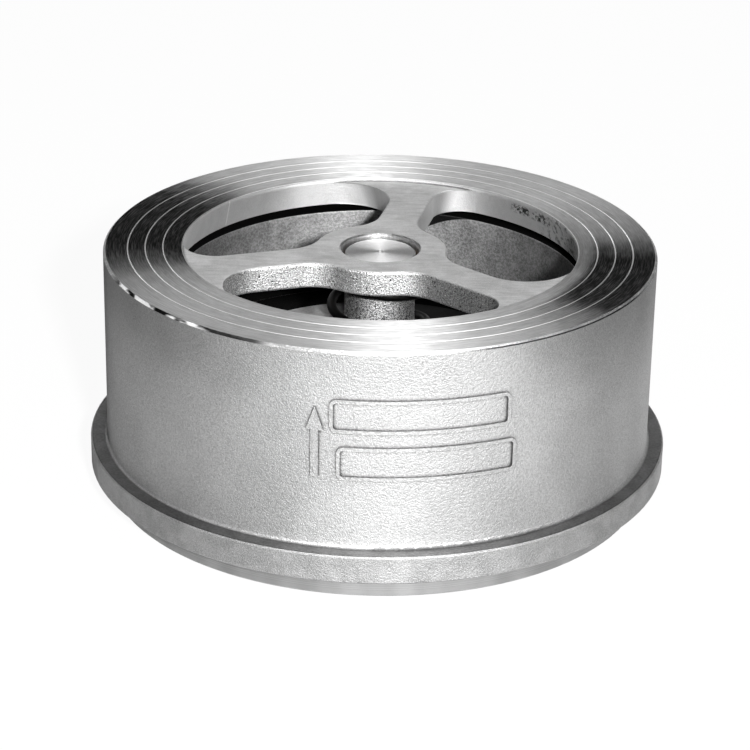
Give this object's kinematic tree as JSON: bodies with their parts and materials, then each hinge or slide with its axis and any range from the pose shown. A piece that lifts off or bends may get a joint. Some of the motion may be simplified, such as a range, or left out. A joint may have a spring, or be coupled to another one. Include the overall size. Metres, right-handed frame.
{
  "type": "wafer check valve",
  "caption": "Round wafer-type lift check valve: cast body with centring rim, open three-armed outlet and a sprung disc on a guided stem.",
  "frame": {"origin": "centre of the inlet gasket face", "axes": "+Z along the flow, from inlet to outlet; -Y is the side with the raised flow arrow"},
  "size_m": [0.284, 0.284, 0.1215],
  "materials": {
    "cast_stainless": "shot-blasted casting with turned faces",
    "turned_stainless": "fine turned",
    "stem_stainless": "rough-turned rod with a turned end",
    "disc_stainless": "cast back, turned rim",
    "spring_steel": "dark drawn wire",
    "fastener_stainless": "plain stainless fastener",
    "bronze": "turned bearing bronze",
    "rubber": "matte black",
    "ptfe": "white, slightly waxy"
  },
  "bodies": {
    "valve_housing": {"valve_body": "cast_stainless", "guide_bush": "bronze", "upper_spring_seat": "turned_stainless", "spring": "spring_steel", "seat_ring": "turned_stainless", "seat_o_ring": "rubber", "seat_screws": "fastener_stainless", "seat_screw_washers": "fastener_stainless"},
    "spring_follower": {"lower_spring_seat": "turned_stainless"},
    "disc_unit": {"stem": "stem_stainless", "stem_seal_ring": "rubber", "disc": "disc_stainless", "disc_seal_ring": "ptfe", "seal_retainer": "turned_stainless", "retainer_screws": "fastener_stainless", "disc_nut_washer": "fastener_stainless", "disc_nut": "fastener_stainless", "cotter_pin": "fastener_stainless"}
  },
  "joints": [
    {"name": "disc_lift", "type": "slide", "parent": "valve_housing", "child": "spring_follower", "axis": [0, 0, 1], "range_m": [0, 0.024], "stiffness_N_per_m": 1200, "springref_m": -0.02, "deforming": ["spring"]},
    {"name": "disc_spin", "type": "hinge", "parent": "spring_follower", "child": "disc_unit", "pos_m": [0, 0, 0.056], "axis": [0, 0, 1], "continuous": true}
  ]
}
